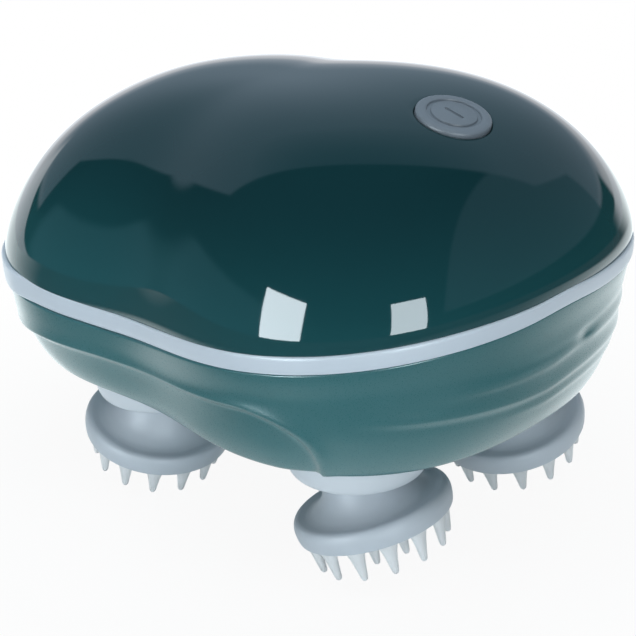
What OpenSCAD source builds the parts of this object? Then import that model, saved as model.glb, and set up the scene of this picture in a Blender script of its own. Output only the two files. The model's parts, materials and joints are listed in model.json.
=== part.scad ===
// Electric scalp massager: a waisted, domed hand piece that stands on four
// kneading heads. One motor turns four cranks through a double worm drive.

/* [Body] */
// Mean radius of the body seen from above
plan_mean = 60.3; // [58:0.1:63]
// How much larger the +X lobe is
plan_bias = 0.057; // [0.03:0.001:0.08]
// How much the long sides are drawn in at the waist
plan_waist = 0.203; // [0.17:0.001:0.22]
// Blunting of the ends
plan_taper = -0.016; // [-0.03:0.001:0]
// Squareness of the lobes
plan_square = -0.052; // [-0.06:0.001:-0.04]
// Distance of the plan's own centre from the part's origin
plan_x = -2.9; // [-4:0.1:-2]
// Rise of the dome above its widest line
dome_rise = 37.5; // [36:0.1:40]
// Height of the widest line over the underside, at the plan's centre
seam_mid = 24.8; // [24:0.1:27]
// Slope of the widest line towards +X
seam_slope = 0.0763; // [0.05:0.0001:0.09]
// Upward curve of the widest line, per millimetre
seam_curve = 0.00063; // [0.0003:0.00001:0.0008]
// Wall of the dome and of the lower shell
wall = 2.4; // [2:0.1:2.8]
// Distance from the widest line down to the trim ring
trim_top = 2.4; // [2:0.1:3]
// Height of the trim ring
trim_h = 3.7; // [3:0.1:4]

/* [Heads] */
// X of the middle of the four heads
head_x = 6.5; // [5:0.1:7]
// Lean of each head away from the vertical
head_tilt = 15.4; // [9:0.1:16]
// Largest radius of a head
cup_r = 16.5; // [16.2:0.1:17.5]
// Largest radius of the fixed collar over a head
collar_r = 15; // [14.9:0.1:15.6]
// Radius of the ring of outer fingers at their tips
tip_ring_r = 13.2; // [12.5:0.1:13.4]
// Radius of the ring of inner fingers
inner_ring_r = 7.2; // [6.8:0.1:8]
// Outer fingers on one head
outer_fingers = 13; // [12:1:14]
// Inner fingers on one head
inner_fingers = 7; // [5:1:7]
// Distance from the wobble point to the finger tips
tip_reach = 19.9; // [18.5:0.1:21]
// Length of a finger
finger_l = 7.1; // [6.5:0.1:7.5]

/* [Button] */
// Diameter of the power button
button_d = 15; // [14:0.1:16]
// X of the middle of the power button
button_x = 42.6; // [41:0.1:43]
// Lean of the button towards +X, as the dome leans there
button_tilt = 17; // [16:0.1:18]
// How far the button stands proud of the dome
button_proud = 0.9; // [0.7:0.1:1.2]
// Travel of the button
button_travel = 0.8; // [0.5:0.1:1]

/* [Drive] */
// Module of all gears
gear_m = 0.8; // [0.79:0.01:0.81]
// Teeth of an output gear
out_teeth = 40; // [39:1:41]
// Teeth of the pinion of a compound gear
pinion_teeth = 24; // [23:1:25]
// Teeth of the worm wheel of a compound gear
wheel_teeth = 35; // [34:1:36]
// Radius of the worm at half of its thread's depth
worm_r = 4.18; // [4.1:0.02:4.3]
// Direction from a compound gear to its output gears, measured from the X axis
mesh_dir = 65; // [64:0.5:66]
// Radius of the steel gear pins
axle_r = 1.5; // [1.4:0.1:1.6]
// Radius of the crank shafts
shaft_r = 2.5; // [2.4:0.1:2.6]
// Radius of the leaning crank pins
pin_r = 2; // [1.8:0.1:2.2]

/* [Power] */
// Diameter of the round cell
cell_d = 18.4; // [18:0.1:18.6]
// Length of the round cell
cell_l = 65; // [64:0.1:66]
// Diameter of the charging socket's bore
jack_bore_d = 2.6; // [2.5:0.05:2.7]
// Direction of the charging socket from the plan's centre
jack_a = 107.5; // [106:0.5:108]

/* [Fits] */
// Gap around turning pins and shafts
run_gap = 0.05; // [0.03:0.01:0.08]
// Gap around parts that slide or are laid in
lay_gap = 0.1; // [0.08:0.01:0.2]

/* [Hidden] */

$fn = 48;
eps = 0.01;
seam_gap = 0.02;
seg = 72;

// Finger and head sizes, measured along each head's own axis
tip_r = 0.45;
finger_tip_r = 0.9;
finger_root_r = 2.1;
finger_flat = 0.75;
finger_lean = 5;
cup_drop = tip_reach - finger_l;
rim_top = 4.8 - cup_drop;
pad_r = cup_r - 1;
pad_t = 1.5;
hub_top = 0.8;
hub_seat = cup_drop - 2.8;
screw_seat_r = 3.8;

// Heights above the surface that the finger tips stand on
lowest_tip = outer_fingers % 2 == 0 ? 1 : cos(180/outer_fingers);
wobble_z = tip_reach*cos(head_tilt) + tip_ring_r*lowest_tip*sin(head_tilt)
    + tip_r*finger_flat*sin(head_tilt + finger_lean);
collar_drop = 6;
shell_z = wobble_z + collar_drop;
floor_z = shell_z + wall;
seal_z = shell_z + 3;
boss_z = shell_z + 10;
base_z = shell_z + 7.5;
base_t = 2;
gear_z = shell_z + 10.2;
gear_t = 4;
wheel_z = gear_z + 4.8;
wheel_t = 5;
worm_z = wheel_z + wheel_t/2;
cover_z = wheel_z + 8;
cover_t = 2;
tray_z = cover_z + cover_t;

// Gear train: each compound gear meshes with the worm and with two output gears
out_r = gear_m*out_teeth/2;
pinion_r = gear_m*pinion_teeth/2;
wheel_r = gear_m*wheel_teeth/2;
tooth_gap = 0.3;
mesh_d = out_r + pinion_r;
comp_x = wheel_r + worm_r;
worm_lead = PI*gear_m;
worm_l = 15;
turn_a = 180 + 180/wheel_teeth;
turn_b = 0;
pinion_turn = 7.5;
gear_hub_r = 5;
gear_hub_h = 3;

// Head positions: front and right on the +X lobe, left and back on the -X lobe
hx = comp_x + mesh_d*cos(mesh_dir);
hy = mesh_d*sin(mesh_dir);
front = [head_x + hx, -hy, 17.5];
right = [head_x + hx, hy, 92];
left = [head_x - hx, -hy, 176.5];
back = [head_x - hx, hy, 70];
heads = [front, right, left, back];

// Motor, lying along Y between the output gears
motor_r = 10;
motor_flat = 7.7;
motor_y = 14.5;
motor_l = 25;
motor_wall = 0.8;
motor_shaft_r = 1;
plate_t = 1.5;

// Chassis plates and the posts that carry them
chassis_x = 2*(hx + 15);
chassis_y = 2*(hy + 5.8);
gear_post_r = 3;
gear_tab = [head_x + 13.4, 37];
gear_posts = [[head_x, -chassis_y/2 + gear_post_r], [head_x - chassis_x/2 + 4, 0],
    [head_x + chassis_x/2 - 4, 0], gear_tab];

// Posts that join the two shells: direction from the plan's centre, distance from the outline
shell_post_spots = [[0, 15.4], [180, 15.4], [-75, 13.2], [97, 10.1]];
shell_posts = [for (p = shell_post_spots) body_point(p[0], p[1])];
post_r = 3;
post_foot_r = 3.6;
post_top = shell_z + 13;

// Screws
screw_r = 1.25;
screw_gap = 0.05;
screw_head_r = 2.2;
screw_head_h = 1.6;
housing_screw_l = 16;
recess_h = 4;
board_screw_r = 0.8;
board_screw_head_r = 1.5;

// Bosses round the shafts
bush_r = 4;
seal_r = 5;
boss_r = 6;
shoulder_r = 7.5;

// Charging socket, on the shell's side wall
jack_share = 0.965;
jack_x = plan_x + plan_r(jack_a)*jack_share*cos(jack_a);
jack_face = plan_r(jack_a)*jack_share*sin(jack_a);
jack_z = shell_z + 5.8;
jack_r = 3;
jack_l = 13;
jack_depth = 11;
jack_block = [7.2, 5, 4.4];
jack_pad_r = 4.6;

// Button stack, measured along the button's own axis
button_r = button_d/2;
sleeve_in = button_r + lay_gap;
sleeve_out = button_r + 2;
sleeve_end = -5;
button_end = -4;
seal_t = 1;
board_top = -10.6;
board_t = 1.6;
board_x = 25;
board_y = 21;
board_edge = 2.1;
board_post_r = 2;
board_posts = [for (i = [-1, 1], j = [-1, 1])
    [i*(board_x/2 - board_edge), j*(board_y/2 - board_edge - 0.2)]];
plug_h = 2.5;
button_mark_r = button_r - 2.05;
button_mark_h = 0.3;

// Battery and wires
cell_y = -12.6;
cell_cap = [2.9, 1.4];
tray_floor = 1.4;
tray_wall = 1.6;
tray_h = 12;
cell_z = tray_z + tray_floor + cell_d/2;
wire_r = 0.6;
wire_gap = 0.15;

// Cranks
crank_r = 7;
crank_t = 2.2;
crank_gap = 0.3;

// Colours
deep_teal = [0.07, 0.2, 0.21];
shell_teal = [0.28, 0.43, 0.45];
trim_grey = [0.72, 0.77, 0.81];
cup_grey = [0.6, 0.65, 0.7];
collar_grey = [0.78, 0.81, 0.84];
pad_white = [0.88, 0.9, 0.92];
button_grey = [0.44, 0.48, 0.52];
steel = [0.75, 0.76, 0.78];
brass = [0.8, 0.66, 0.36];
acetal = [0.93, 0.92, 0.88];
dark_plastic = [0.16, 0.17, 0.18];

// ---- body shape -------------------------------------------------------

// Radius of the body's outline at angle a
function plan_r(a) = plan_mean*exp(plan_bias*cos(a) + plan_waist*cos(2*a)
    + plan_taper*cos(3*a) + plan_square*cos(4*a));

// Point at angle a, drawn in from the outline by inset
function body_point(a, inset) = [plan_x + (plan_r(a) - inset)*cos(a),
    (plan_r(a) - inset)*sin(a)];

// Height of the widest line at x
function seam_z(x) = shell_z + seam_mid + seam_slope*(x - plan_x)
    + seam_curve*pow(x - plan_x, 2);

// One level ring of the dome: s is the share of the outline's radius
function dome_ring(s, inset) = [for (i = [0:seg-1])
    let (a = 360*i/seg, r = (plan_r(a) - inset)*s, x = r*cos(a) + plan_x)
    [x, r*sin(a), seam_z(x) + (dome_rise - inset)*pow(1 - pow(s, 3), 2/3)]];

// One ring that follows the widest line at a height h over or under it
function band_ring(s, inset, h) = [for (i = [0:seg-1])
    let (a = 360*i/seg, r = plan_r(a)*s - inset, x = r*cos(a) + plan_x)
    [x, r*sin(a), seam_z(plan_r(a)*cos(a) + plan_x) + h]];

// Share of the outline's radius where the lower shell is u of the way down
function shell_s(u) = 0.973 - 0.094*pow(u, 3.65);

// One ring of the lower shell, u of the way down from the widest line
function shell_ring(u, s, inset) = [for (i = [0:seg-1])
    let (a = 360*i/seg, r = plan_r(a)*s - inset,
        top = seam_z(plan_r(a)*cos(a) + plan_x), z = top + (shell_z - top)*u)
    [r*cos(a) + plan_x, r*sin(a), max(z, inset > 0 ? floor_z : shell_z)]];

// One ring level with the height z inside the lower shell
function shell_level(u, s, inset, z) = [for (p = shell_ring(u, s, inset)) [p.x, p.y, z]];

function join(lists) = [for (l = lists) each l];

// Faces between neighbouring rings; each ring starts at point k + ring*seg
function ring_faces(k, count, wrap) = [for (r = [0:count - (wrap ? 1 : 2)], i = [0:seg-1])
    let (j = (i + 1) % seg, a = k + r*seg, b = k + ((r + 1) % count)*seg)
    each [[a + i, a + j, b + j], [a + i, b + j, b + i]]];

// Solid of rings that run down outside and up inside, closed by two end points
module ring_solid(rings, top, bottom) {
    n = len(rings)*seg;
    polyhedron(concat([top], join(rings), [bottom]),
        concat([for (i = [0:seg-1]) [0, 1 + (i + 1) % seg, 1 + i]],
            ring_faces(1, len(rings), false),
            [for (i = [0:seg-1]) [n + 1, n + 1 - seg + i, n + 1 - seg + (i + 1) % seg]]));
}

// Closed band of rings
module ring_band(rings) {
    polyhedron(join(rings), ring_faces(0, len(rings), true));
}

dome_steps = [0.12, 0.26, 0.4, 0.52, 0.63, 0.73, 0.82, 0.89, 0.945, 0.98, 0.996];

// ---- placing helpers --------------------------------------------------

// Puts a head's own parts in place: its axis leans by head_tilt towards its angle
module at_head(h) {
    translate([h.x, h.y, wobble_z])
        rotate([0, -head_tilt, h.z])
            children();
}

// Puts the button's parts in place, +Z out of the dome
module at_button() {
    translate([button_x, 0, button_z()])
        rotate([0, button_tilt, 0])
            children();
}

// Height of the dome over the X axis at the button
function button_s() = (button_x - plan_x)/plan_r(0);
function button_z() = seam_z(button_x) + dome_rise*pow(1 - pow(button_s(), 3), 2/3);

module at_each(points, z = 0) {
    for (p = points)
        translate([p.x, p.y, z])
            children();
}

module lying(r, y0, y1) {
    translate([0, y0, 0])
        rotate([-90, 0, 0])
            cylinder(r = r, h = y1 - y0);
}

module tube(r_out, r_in, h) {
    difference() {
        cylinder(r = r_out, h = h);
        translate([0, 0, -1])
            cylinder(r = r_in, h = h + 2);
    }
}

// Flat plate with rounded corners
module rounded_plate(x, y, r, h) {
    linear_extrude(h) {
        square([x - 2*r, y], center = true);
        square([x, y - 2*r], center = true);
        for (i = [-1, 1], j = [-1, 1])
            translate([i*(x/2 - r), j*(y/2 - r)])
                circle(r = r);
    }
}

// ---- housing ----------------------------------------------------------

module button_posts(r, z0, z1) {
    for (p = board_posts)
        translate([p.x, p.y, z0])
            cylinder(r = r, h = z1 - z0);
}

module top_cover() {
    color(deep_teal)
    difference() {
        union() {
            ring_solid(concat([for (s = dome_steps) dome_ring(s, 0)],
                    [band_ring(1, 0, 0), band_ring(0.997, 0, -trim_top),
                    band_ring(0.997, wall, -trim_top), band_ring(1, wall, 0)],
                    [for (i = [len(dome_steps)-1:-1:0]) dome_ring(dome_steps[i], wall)]),
                [plan_x, 0, seam_z(plan_x) + dome_rise],
                [plan_x, 0, seam_z(plan_x) + dome_rise - wall]);
            intersection() {
                union() {
                    at_each(shell_posts, post_top)
                        cylinder(r = post_r, h = 50);
                    at_button() {
                        translate([0, 0, sleeve_end])
                            cylinder(r = sleeve_out, h = 10);
                        button_posts(board_post_r, board_top, 6);
                    }
                }
                dome_filled();
            }
        }
        at_each(shell_posts, post_top - 1)
            cylinder(r = screw_r + screw_gap, h = 9);
        at_button() {
            translate([0, 0, sleeve_end - 1])
                cylinder(r = sleeve_in, h = 20);
            button_posts(board_screw_r + screw_gap, board_top - 1, board_top + 5);
        }
    }
}

// Room under the dome's skin in which its posts and sleeve may stand
module dome_filled() {
    skin = wall/2;
    ring_solid(concat([for (s = dome_steps) dome_ring(s, skin)],
            [band_ring(1, skin, 0), shell_level(0.9, 0.8, skin, post_top)]),
        [plan_x, 0, seam_z(plan_x) + dome_rise - skin],
        [plan_x, 0, post_top]);
}

module trim_ring() {
    step = 0.5;
    low = -trim_top - trim_h;
    color(trim_grey)
    ring_band([band_ring(0.997, 0, -trim_top - seam_gap), band_ring(1, 0, -trim_top - trim_h*0.4),
        band_ring(0.988, 0, low + step), band_ring(0.973, 0.6, low + step),
        band_ring(0.973, 0.6, low + seam_gap), band_ring(0.973, wall, low + seam_gap),
        band_ring(0.997, wall, -trim_top - seam_gap)]);
}

shell_steps = [0.4, 0.55, 0.68, 0.78, 0.86, 0.92, 0.965];

module lower_shell() {
    low = -trim_top - trim_h;
    color(shell_teal)
    difference() {
        union() {
            ring_solid(concat(
                    [shell_level(1, 0.8, wall, floor_z), shell_level(0.94, 0.9, wall, floor_z + 0.8)],
                    [for (i = [4:-1:0]) shell_ring(shell_steps[i], shell_s(shell_steps[i]), wall)],
                    [band_ring(0.973, wall, low), band_ring(0.973, 0, low)],
                    [for (u = shell_steps) shell_ring(u, shell_s(u), 0)],
                    [shell_level(0.99, 0.87, 0, shell_z + 0.25),
                    shell_level(1, 0.84, 0, shell_z)]),
                [plan_x, 0, floor_z], [plan_x, 0, shell_z]);
            at_each(heads, shell_z + eps) {
                cylinder(r = boss_r, h = boss_z - shell_z - eps);
                cylinder(r = shoulder_r, h = base_z - shell_z - eps);
            }
            at_each(gear_posts, shell_z + eps)
                cylinder(r = gear_post_r, h = base_z - shell_z - eps);
            at_each(shell_posts, shell_z + eps) {
                cylinder(r = post_r, h = post_top - shell_z - eps);
                cylinder(r = post_foot_r, h = 6);
            }
            translate([jack_x, 0, jack_z])
                lying(jack_pad_r, jack_face - 5, jack_face);
        }
        at_each(heads, shell_z - 1) {
            cylinder(r = bush_r, h = 20);
            cylinder(r = seal_r, h = seal_z - shell_z + 1);
        }
        at_each(gear_posts, floor_z)
            cylinder(r = screw_r + screw_gap, h = 10);
        at_each(shell_posts, shell_z - 1) {
            cylinder(r = screw_r + screw_gap, h = 20);
            cylinder(r = screw_head_r + lay_gap, h = 1 + recess_h);
        }
        translate([jack_x, 0, jack_z])
            lying(jack_r, jack_face - jack_depth, jack_face + 5);
    }
}

// Fixed bowl round the top of one head
module collar(h) {
    color(collar_grey)
    translate([h.x, h.y, wobble_z])
        rotate_extrude()
            polygon([for (p = [[0, collar_drop], [-0.1, 3.9], [-0.4, 2.3], [-0.8, 0.9],
                [-1.3, -0.1], [-2, -0.7], [-2.8, -0.9], [-4.2, -0.9], [-4.5, -0.5],
                [-4.2, -0.1], [-3.3, 0.4], [-2.6, 1.5], [-2.3, 3.2], [-2.1, collar_drop]])
                [collar_r + p.x, p.y]]);
}

module collar_front() { collar(front); }
module collar_right() { collar(right); }
module collar_left() { collar(left); }
module collar_back() { collar(back); }

module housing_screws() {
    color(steel)
    at_each(shell_posts, shell_z + recess_h - screw_head_h) {
        difference() {
            cylinder(r = screw_head_r, h = screw_head_h);
            translate([0, 0, -eps])
                cross_slot(0.9);
        }
        cylinder(r = screw_r, h = housing_screw_l);
    }
}

// Cross recess of a screw head
module cross_slot(h) {
    for (a = [0, 90])
        rotate([0, 0, a])
            translate([-1.2, -0.3, 0])
                cube([2.4, 0.6, h]);
}

// ---- button -----------------------------------------------------------

module power_button() {
    top = button_proud;
    color(button_grey)
    at_button()
        difference() {
            rotate_extrude()
                polygon([[0, button_end], [button_r, button_end], [button_r, top - 0.5],
                    [button_r - 0.15, top - 0.15], [button_r - 0.5, top],
                    [button_mark_r + 0.3, top], [button_mark_r + 0.2, top - button_mark_h],
                    [button_mark_r - 0.2, top - button_mark_h], [button_mark_r - 0.3, top],
                    [0, top]]);
            translate([-2.2, -0.35, top - button_mark_h])
                cube([4.4, 0.7, 1]);
        }
}

module button_seal() {
    color(dark_plastic)
    at_button() {
        translate([0, 0, sleeve_end - seal_t])
            cylinder(r = sleeve_out, h = seal_t);
        translate([0, 0, sleeve_end - eps])
            cylinder(r = 2.2, h = button_end - sleeve_end - button_travel + eps);
    }
}

module tact_switch() {
    color(dark_plastic)
    at_button() {
        translate([-3, -3, board_top])
            cube([6, 6, 3.4]);
        translate([0, 0, board_top])
            cylinder(r = 1.7, h = sleeve_end - seal_t - board_top);
    }
}

module control_board() {
    color([0.1, 0.3, 0.18])
    at_button()
        difference() {
            translate([0, 0, board_top - board_t])
                rounded_plate(board_x, board_y, 1.5, board_t);
            button_posts(board_screw_r + screw_gap, board_top - 5, board_top + 1);
        }
}

module board_parts() {
    color(dark_plastic)
    at_button() {
        translate([-9, -2.5, board_top])
            cube([4.5, 5, 1.4]);
        translate([5.5, -2, board_top])
            cube([3, 4, 1.2]);
        for (y = [-6, -4.4, 4.4, 6])
            translate([-1, y - 0.4, board_top])
                cube([1.6, 0.8, 0.6]);
        translate([-3, -9.6, board_top - board_t - plug_h])
            cube([6, 12, plug_h]);
    }
}

module board_screws() {
    color(steel)
    at_button()
        for (p = board_posts)
            translate([p.x, p.y, board_top - board_t - 1]) {
                cylinder(r = board_screw_head_r, h = 1);
                cylinder(r = board_screw_r, h = 5.4);
            }
}

// ---- power ------------------------------------------------------------

module charge_jack() {
    color(dark_plastic)
    translate([jack_x, 0, jack_z])
        difference() {
            union() {
                lying(jack_r, jack_face - jack_l + 1, jack_face);
                translate([-jack_block.x/2, jack_face - jack_l, -jack_block.z/2])
                    cube(jack_block);
            }
            lying(jack_bore_d/2, jack_face - jack_depth, jack_face + 1);
        }
}

module battery_cell() {
    color([0.2, 0.42, 0.6])
    translate([head_x - cell_l/2, cell_y, cell_z])
        rotate([0, 90, 0]) {
            cylinder(r = cell_d/2, h = cell_l - cell_cap[1]);
            cylinder(r = cell_cap[0], h = cell_l);
        }
}

module battery_tray() {
    tray_l = cell_l + 2*lay_gap;
    tray_w = cell_d + 2*tray_wall;
    color(dark_plastic)
    translate([head_x, cell_y, tray_z])
        difference() {
            translate([-tray_l/2 - tray_wall, -tray_w/2, 0])
                cube([tray_l + 2*tray_wall, tray_w, tray_h]);
            translate([-tray_l/2, 0, cell_z - tray_z])
                rotate([0, 90, 0])
                    cylinder(r = cell_d/2 + eps, h = tray_l);
            translate([-tray_l/2, -cell_d/2, cell_z - tray_z])
                cube([tray_l, cell_d, tray_h]);
            for (x = [-15, 15])
                translate([x - 6, -tray_w/2 - 1, tray_h/2])
                    cube([12, tray_w + 2, tray_h]);
        }
}

// ---- motor ------------------------------------------------------------

module motor_section(r) {
    intersection() {
        circle(r = r);
        square([2*(motor_flat - motor_r + r), 3*r], center = true);
    }
}

// Stands a flat section up so that it runs from y0 to y1 on the motor's axis
module along_motor(y0, y1) {
    translate([head_x, y1, worm_z])
        rotate([90, 0, 0])
            linear_extrude(y1 - y0)
                children();
}

module motor_can() {
    color(steel)
    difference() {
        along_motor(motor_y, motor_y + motor_l)
            motor_section(motor_r);
        along_motor(motor_y + motor_wall, motor_y + motor_l + 1)
            motor_section(motor_r - motor_wall);
        along_motor(motor_y - 1, motor_y + 2)
            circle(r = 1.5);
    }
}

module motor_end_cap() {
    y = motor_y + motor_l - 1.6;
    color(dark_plastic)
    difference() {
        along_motor(y, y + 2)
            motor_section(motor_r - motor_wall);
        along_motor(y - 1, y + 1.2)
            circle(r = motor_shaft_r + run_gap);
    }
    color(brass)
    for (x = [-4, 4])
        translate([head_x + x - 0.9, y + 2 - eps, worm_z - 0.2])
            cube([1.8, 2.2, 0.4]);
}

module motor_magnets() {
    color([0.25, 0.25, 0.27])
    along_motor(motor_y + 4, motor_y + 19)
        difference() {
            motor_section(motor_r - motor_wall);
            circle(r = 7);
            square([40, 9], center = true);
        }
}

module motor_armature() {
    color([0.72, 0.42, 0.22])
    difference() {
        along_motor(motor_y + 5, motor_y + 18)
            for (a = [0, 120, 240])
                rotate(a + 30) {
                    intersection() {
                        difference() {
                            circle(r = 6.4);
                            circle(r = 5.2);
                        }
                        translate([0, -4.4])
                            square([8, 8.8]);
                    }
                    translate([0, -1.6])
                        square([5.6, 3.2]);
                }
        along_motor(motor_y, motor_y + 30)
            circle(r = motor_shaft_r);
    }
}

module motor_shaft() {
    color(steel)
    along_motor(-11.5, motor_y + motor_l - 0.6)
        circle(r = motor_shaft_r);
}

module motor_clamp() {
    strap = 1.4;
    out_w = motor_flat + lay_gap + strap;
    leg = worm_z - base_z - base_t;
    color(dark_plastic)
    along_motor(30, 36)
        difference() {
            union() {
                intersection() {
                    circle(r = motor_r + lay_gap + strap);
                    translate([-out_w, 0])
                        square([2*out_w, 20]);
                }
                translate([-out_w, -leg])
                    square([2*out_w, leg + 1]);
            }
            intersection() {
                circle(r = motor_r + lay_gap);
                square([2*(motor_flat + lay_gap), 3*motor_r], center = true);
            }
        }
}

// ---- gears ------------------------------------------------------------

// Turn of a gear with nb teeth that meshes, in direction dir, with one of na teeth turned ta
function mesh_turn(dir, na, ta, nb) = dir + 180 - 360/nb*(0.5 - (dir - ta)*na/360);

// Outline of a spur gear with thinned teeth
module gear_outline(teeth) {
    r = gear_m*teeth/2;
    half = (PI*gear_m/2 - tooth_gap)/2;
    outer = r + gear_m*0.95;
    root = r - gear_m*1.2;
    polygon([for (i = [0:teeth-1]) let (a = 360*i/teeth)
        each [root*[cos(a - deg(half*1.55, root)), sin(a - deg(half*1.55, root))],
            outer*[cos(a - deg(half*0.5, outer)), sin(a - deg(half*0.5, outer))],
            outer*[cos(a + deg(half*0.5, outer)), sin(a + deg(half*0.5, outer))],
            root*[cos(a + deg(half*1.55, root)), sin(a + deg(half*1.55, root))]]]);
}

// Angle of an arc of length l at radius r
function deg(l, r) = l/r*180/PI;

module output_gear(h, side) {
    dir = side*mesh_dir;
    comp_turn = h.x > head_x ? turn_a : turn_b;
    face = h.x > head_x ? dir : 180 - dir;
    color(acetal)
    translate([h.x, h.y, gear_z])
        difference() {
            union() {
                rotate([0, 0, mesh_turn(face, pinion_teeth, comp_turn + pinion_turn, out_teeth)])
                    linear_extrude(gear_t)
                        gear_outline(out_teeth);
                cylinder(r = gear_hub_r, h = gear_t + gear_hub_h);
            }
            translate([0, 0, -1])
                shaft_section(10, 0);
            for (a = [0:60:300])
                rotate([0, 0, a])
                    translate([9.6, 0, -1])
                        cylinder(r = 3, h = 10);
        }
}

// Shaft with a driving flat
module shaft_section(h, grow) {
    linear_extrude(h)
        intersection() {
            circle(r = shaft_r + grow);
            translate([-5, -5])
                square([6.8 + grow, 10]);
        }
}

module output_gear_front() { output_gear(front, -1); }
module output_gear_right() { output_gear(right, 1); }
module output_gear_left() { output_gear(left, -1); }
module output_gear_back() { output_gear(back, 1); }

module compound_gear(x, turn) {
    color([0.86, 0.87, 0.84])
    translate([x, 0, gear_z])
        difference() {
            union() {
                rotate([0, 0, turn + pinion_turn])
                    linear_extrude(wheel_z - gear_z + eps)
                        gear_outline(pinion_teeth);
                translate([0, 0, wheel_z - gear_z])
                    rotate([0, 0, turn])
                        linear_extrude(wheel_t)
                            gear_outline(wheel_teeth);
                cylinder(r = axle_r + 2.5, h = wheel_z - gear_z + wheel_t + 1);
            }
            translate([0, 0, -1])
                cylinder(r = axle_r + run_gap, h = 20);
        }
}

module compound_gear_a() { compound_gear(head_x + comp_x, turn_a); }
module compound_gear_b() { compound_gear(head_x - comp_x, turn_b); }

module gear_axles() {
    color(steel)
    for (i = [-1, 1])
        translate([head_x + i*comp_x, 0, base_z])
            cylinder(r = axle_r, h = cover_z + cover_t - base_z);
}

// Single-start worm on the motor shaft, with its thread centred on the +X side
module worm() {
    around = 20;
    per_turn = 8;
    rings = ceil(worm_l/worm_lead*per_turn);
    pitch = worm_lead/per_turn;
    root = worm_r - 1.05*gear_m;
    rise = 1.85*gear_m;
    y0 = -rings/2*pitch;
    function wrap(f) = abs(f - round(f));
    function thread_r(t, y) = root
        + rise*min(1, max(0, (0.27 - wrap(y/worm_lead - t/360))/0.14));
    function point(i, k) = let (t = 360*i/around, y = y0 + k*pitch, r = thread_r(t, y))
        [head_x + r*cos(t), y, worm_z + r*sin(t)];
    n = (rings + 1)*around;
    color(brass)
    difference() {
        polyhedron(concat([for (k = [0:rings], i = [0:around-1]) point(i, k)],
                [[head_x, y0, worm_z], [head_x, y0 + rings*pitch, worm_z]]),
            concat([for (k = [0:rings-1], i = [0:around-1])
                    let (j = (i + 1) % around, a = k*around, b = a + around)
                    each [[a + i, a + j, b + j], [a + i, b + j, b + i]]],
                [for (i = [0:around-1]) [n, (i + 1) % around, i]],
                [for (i = [0:around-1])
                    [n + 1, n - around + i, n - around + (i + 1) % around]]));
        along_motor(-20, 20)
            circle(r = motor_shaft_r);
    }
}

// ---- gearbox ----------------------------------------------------------

module chassis_outline(z, h) {
    tab_r = gear_post_r + 1;
    translate([head_x, 0, z])
        rounded_plate(chassis_x, chassis_y, 8, h);
    translate([gear_tab.x - tab_r + 0.2, chassis_y/2 - 9, z])
        cube([2*tab_r - 0.2, gear_tab.y - chassis_y/2 + 9, h]);
    translate([gear_tab.x, gear_tab.y, z])
        cylinder(r = tab_r, h = h);
}

module gearbox_base() {
    color(dark_plastic)
    difference() {
        union() {
            chassis_outline(base_z, base_t);
            at_each(gear_posts, base_z)
                cylinder(r = gear_post_r, h = cover_z - base_z);
            translate([head_x - 8, motor_y - plate_t, base_z])
                cube([16, plate_t, cover_z - base_z - 0.3]);
            translate([head_x - 3, -11.2, base_z])
                cube([6, 2.2, worm_z - base_z + 3]);
        }
        at_each(heads, base_z - 1)
            cylinder(r = boss_r + lay_gap, h = base_t + 2);
        at_each(gear_posts, base_z - 1)
            cylinder(r = screw_r + screw_gap, h = 30);
        for (i = [-1, 1])
            translate([head_x + i*comp_x, 0, base_z - 1])
                cylinder(r = axle_r, h = base_t + 2);
        translate([head_x - motor_flat - lay_gap, motor_y, base_z - 1])
            cube([2*(motor_flat + lay_gap), 30, base_t + 2]);
        along_motor(-15, motor_y + 1)
            circle(r = motor_shaft_r + run_gap);
    }
}

module gearbox_cover() {
    color(dark_plastic)
    difference() {
        chassis_outline(cover_z, cover_t);
        at_each(heads, cover_z - 1)
            cylinder(r = shaft_r + run_gap, h = cover_t + 2);
        at_each(gear_posts, cover_z - 1)
            cylinder(r = screw_r + screw_gap, h = cover_t + 2);
        for (i = [-1, 1])
            translate([head_x + i*comp_x, 0, cover_z - 1])
                cylinder(r = axle_r, h = cover_t + 2);
        translate([head_x - motor_flat - 0.6, motor_y - 2, cover_z - 1])
            cube([2*motor_flat + 1.2, 40, cover_t + 2]);
    }
}

module gearbox_screws() {
    color(steel)
    at_each(gear_posts, floor_z + 0.6) {
        cylinder(r = screw_r, h = tray_z - floor_z - 0.6);
        translate([0, 0, tray_z - floor_z - 0.6])
            cylinder(r = screw_head_r, h = screw_head_h);
    }
}

// ---- wires ------------------------------------------------------------

function unit(v) = v/norm(v);

// Point at share t of the smooth curve from b to c, with a before and d after
function curve_point(a, b, c, d, t) = ((2*b) + (c - a)*t + (2*a - 5*b + 4*c - d)*t*t
    + (3*b - a - 3*c + d)*t*t*t)/2;

// Smooth path through a list of points, straight at both ends
function smooth_path(p, steps) = let (n = len(p))
    concat([p[0]], [for (i = [1:n-3], k = [0:steps-1])
        curve_point(p[i - 1], p[i], p[i + 1], p[i + 2], k/steps)],
        [p[n - 2], p[n - 1]]);

// Round wire along a list of points
module wire(points) {
    sides = 8;
    path = smooth_path(points, 4);
    n = len(path);
    rings = [for (i = [0:n-1])
        let (t = unit(path[min(i + 1, n - 1)] - path[max(i - 1, 0)]),
            u = unit(cross(t, [0.83, 0.1, 0.55])), v = cross(t, u))
        each [for (k = [0:sides-1])
            path[i] + wire_r*(u*cos(360*k/sides) + v*sin(360*k/sides))]];
    polyhedron(rings, concat(
        [for (i = [0:n-2], k = [0:sides-1])
            let (j = (k + 1) % sides, a = i*sides, b = a + sides)
            each [[a + k, b + j, a + j], [a + k, b + k, b + j]]],
        [[for (k = [0:sides-1]) k]],
        [[for (k = [sides-1:-1:0]) (n - 1)*sides + k]]));
}

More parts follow.
